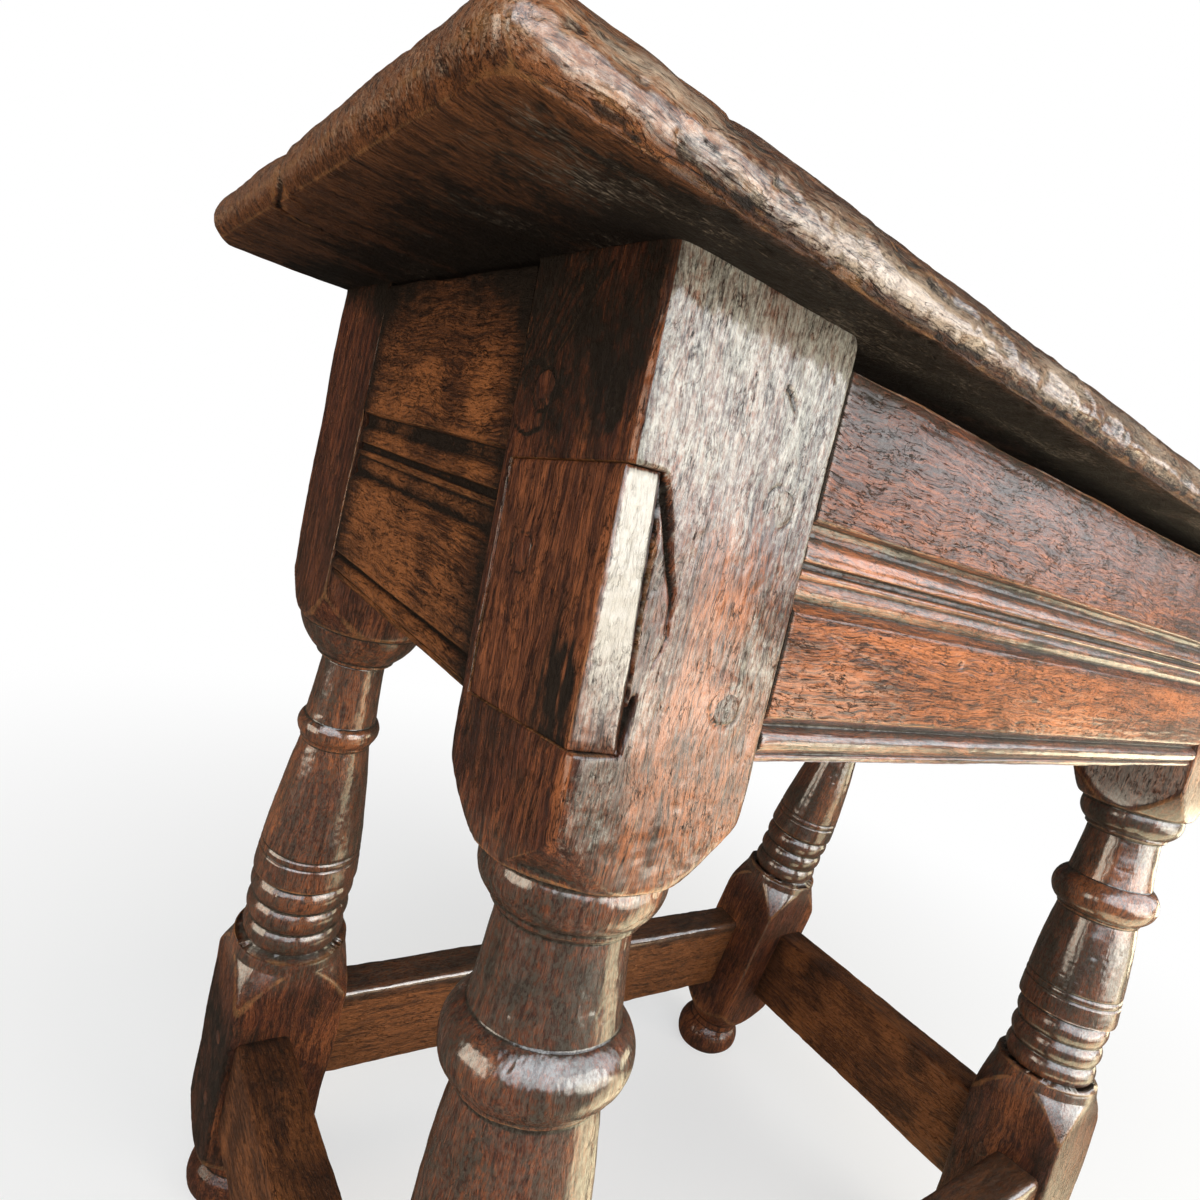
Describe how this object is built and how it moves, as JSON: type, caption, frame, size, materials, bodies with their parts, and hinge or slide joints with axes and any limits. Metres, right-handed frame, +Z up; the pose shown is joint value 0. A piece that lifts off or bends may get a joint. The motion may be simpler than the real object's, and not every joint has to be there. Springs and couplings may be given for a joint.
{
  "type": "joint stool",
  "caption": "Joined oak stool: moulded board seat on leaning turned legs, with moulded rails, plain low stretchers and pegged mortise and tenon joints.",
  "frame": {"origin": "on the floor, below the middle of the frame's box", "axes": "+Z up, +X along the length of the seat, -Y towards the front"},
  "size_m": [0.54, 0.31, 0.509],
  "materials": {
    "seat_oak": "dark waxed oak, worn along its edges",
    "leg_oak": "dark waxed oak, glossy on the arrises and rings",
    "rail_oak": "dark waxed oak",
    "stretcher_oak": "dark waxed oak, upper arrises rubbed bright",
    "peg_oak": "dark end grain",
    "patch_oak": "waxed oak, rubbed bright on its worn corner"
  },
  "bodies": {
    "root": {"corner_patch": "patch_oak", "leg_back_left": "leg_oak", "leg_back_right": "leg_oak", "leg_front_left": "leg_oak", "leg_front_right": "leg_oak", "peg_rail_back_left_lower": "peg_oak", "peg_rail_back_left_upper": "peg_oak", "peg_rail_back_right_lower": "peg_oak", "peg_rail_back_right_upper": "peg_oak", "peg_rail_front_left_lower": "peg_oak", "peg_rail_front_left_upper": "peg_oak", "peg_rail_front_right_lower": "peg_oak", "peg_rail_front_right_upper": "peg_oak", "peg_rail_left_back_lower": "peg_oak", "peg_rail_left_back_upper": "peg_oak", "peg_rail_left_front_lower": "peg_oak", "peg_rail_left_front_upper": "peg_oak", "peg_rail_right_back_lower": "peg_oak", "peg_rail_right_back_upper": "peg_oak", "peg_rail_right_front_lower": "peg_oak", "peg_rail_right_front_upper": "peg_oak", "peg_seat_back_left": "peg_oak", "peg_seat_back_right": "peg_oak", "peg_seat_front_left": "peg_oak", "peg_seat_front_right": "peg_oak", "peg_stretcher_back_left_lower": "peg_oak", "peg_stretcher_back_left_upper": "peg_oak", "peg_stretcher_back_right_lower": "peg_oak", "peg_stretcher_back_right_upper": "peg_oak", "peg_stretcher_front_left_lower": "peg_oak", "peg_stretcher_front_left_upper": "peg_oak", "peg_stretcher_front_right_lower": "peg_oak", "peg_stretcher_front_right_upper": "peg_oak", "peg_stretcher_left_back_lower": "peg_oak", "peg_stretcher_left_back_upper": "peg_oak", "peg_stretcher_left_front_lower": "peg_oak", "peg_stretcher_left_front_upper": "peg_oak", "peg_stretcher_right_back_lower": "peg_oak", "peg_stretcher_right_back_upper": "peg_oak", "peg_stretcher_right_front_lower": "peg_oak", "peg_stretcher_right_front_upper": "peg_oak", "rail_back": "rail_oak", "rail_front": "rail_oak", "rail_left": "rail_oak", "rail_right": "rail_oak", "seat_board": "seat_oak", "stretcher_back": "stretcher_oak", "stretcher_front": "stretcher_oak", "stretcher_left": "stretcher_oak", "stretcher_right": "stretcher_oak"}
  },
  "joints": []
}
